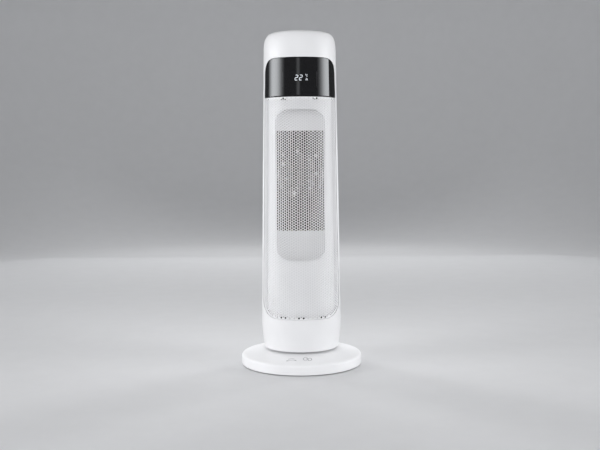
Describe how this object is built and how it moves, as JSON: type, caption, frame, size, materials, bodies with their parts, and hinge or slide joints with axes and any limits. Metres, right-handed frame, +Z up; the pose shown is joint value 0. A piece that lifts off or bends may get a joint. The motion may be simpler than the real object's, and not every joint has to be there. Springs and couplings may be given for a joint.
{
  "type": "ceramic tower heater",
  "caption": "White tower heater with a perforated front grille, dark display lens and oscillating column on a round weighted base.",
  "frame": {"origin": "on the floor at the centre of the round base", "axes": "+Z up along the column and its oscillation axis; the front with the display and grille faces -Y; +X is to the right seen from the front"},
  "size_m": [0.238, 0.238, 0.65],
  "materials": {
    "white_shell": "cool white moulded plastic, satin with a very fine texture",
    "white_grille": "white powder coat on perforated steel sheet",
    "white_inner": "white heat-resistant plastic, matt",
    "black_lens": "dark smoked acrylic, high gloss",
    "black_plastic": "black moulded plastic, fine texture",
    "grey_plastic": "grey glass-filled plastic, semi-matt",
    "fibre_duct": "dark heat-resistant moulding, matt",
    "natural_nylon": "natural nylon, semi-matt",
    "circuit_board": "green solder mask on glass-fibre board",
    "zinc_steel": "zinc-plated steel",
    "black_steel": "black painted steel",
    "cast_iron": "as cast",
    "aluminium": "bare rolled strip",
    "ceramic": "unglazed, in an anodised sleeve",
    "rubber": "black rubber, matt",
    "foam": "conductive foam",
    "filter_mesh": "woven nylon mesh",
    "cable_jacket": "grey cable jacket",
    "icon_print": "light grey pad print",
    "display_light": "white light-emitting segments behind the lens"
  },
  "bodies": {
    "base": {"base_cover": "white_shell", "base_plate": "zinc_steel", "ballast_ring": "cast_iron", "foot_1": "rubber", "foot_2": "rubber", "foot_3": "rubber", "foot_4": "rubber", "base_screw_1": "zinc_steel", "base_screw_2": "zinc_steel", "base_screw_3": "zinc_steel", "bearing_ring": "natural_nylon", "oscillation_motor": "zinc_steel", "touch_board": "circuit_board", "touch_pad_left": "foam", "touch_pad_right": "foam", "tip_switch_body": "black_plastic", "cord_gland": "rubber"},
    "tower": {"turntable": "white_inner", "sector_gear": "natural_nylon", "gear_screw_1": "zinc_steel", "gear_screw_2": "zinc_steel", "gear_screw_3": "zinc_steel", "front_shell": "white_shell", "rear_shell": "white_shell", "shell_screw_1": "zinc_steel", "shell_screw_2": "zinc_steel", "shell_screw_3": "zinc_steel", "shell_screw_4": "zinc_steel", "display_lens": "black_lens", "display_housing": "black_plastic", "display_board": "circuit_board", "led_module": "black_plastic", "ir_receiver": "black_lens", "front_grille": "white_grille", "air_baffle": "white_inner", "heater_frame": "white_inner", "core_end_cap_bottom": "natural_nylon", "core_end_cap_top": "natural_nylon", "fin_bank_1": "aluminium", "fin_bank_2": "aluminium", "fin_bank_3": "aluminium", "fin_bank_4": "aluminium", "fin_bank_5": "aluminium", "ptc_bar_1": "ceramic", "ptc_bar_2": "ceramic", "ptc_bar_3": "ceramic", "ptc_bar_4": "ceramic", "fan_shroud": "fibre_duct", "motor_bracket": "zinc_steel", "fan_motor": "black_steel", "thermostat": "ceramic", "control_board": "circuit_board", "display_cable": "cable_jacket", "intake_grille": "white_shell", "dust_filter": "filter_mesh", "switch_housing": "black_plastic"},
    "pinion": {"oscillation_pinion": "natural_nylon"},
    "fan": {"fan_impeller": "grey_plastic"},
    "rocker": {"power_rocker": "black_plastic"},
    "plunger": {"tip_plunger": "natural_nylon"}
  },
  "joints": [
    {"name": "oscillation", "type": "hinge", "parent": "base", "child": "tower", "pos_m": [0, 0, 0.0335], "axis": [0, 0, 1], "range_deg": [-40, 40]},
    {"name": "pinion_spin", "type": "hinge", "parent": "base", "child": "pinion", "pos_m": [0, 0.042, 0.02335], "axis": [0, 0, 1], "range_deg": [-245, 245]},
    {"name": "fan_spin", "type": "hinge", "parent": "tower", "child": "fan", "pos_m": [0, 0.002, 0.372], "axis": [0, 1, 0], "continuous": true},
    {"name": "rocker_press", "type": "hinge", "parent": "tower", "child": "rocker", "pos_m": [0, 0.0756, 0.072], "axis": [-1, 0, 0], "range_deg": [0, 16]},
    {"name": "plunger_travel", "type": "slide", "parent": "base", "child": "plunger", "axis": [0, 0, -1], "range_m": [0, 0.004], "stiffness_N_per_m": 100, "springref_m": 0.01}
  ],
  "couplings": [
    {"joint": "pinion_spin", "follows": "oscillation", "ratio": -6}
  ]
}
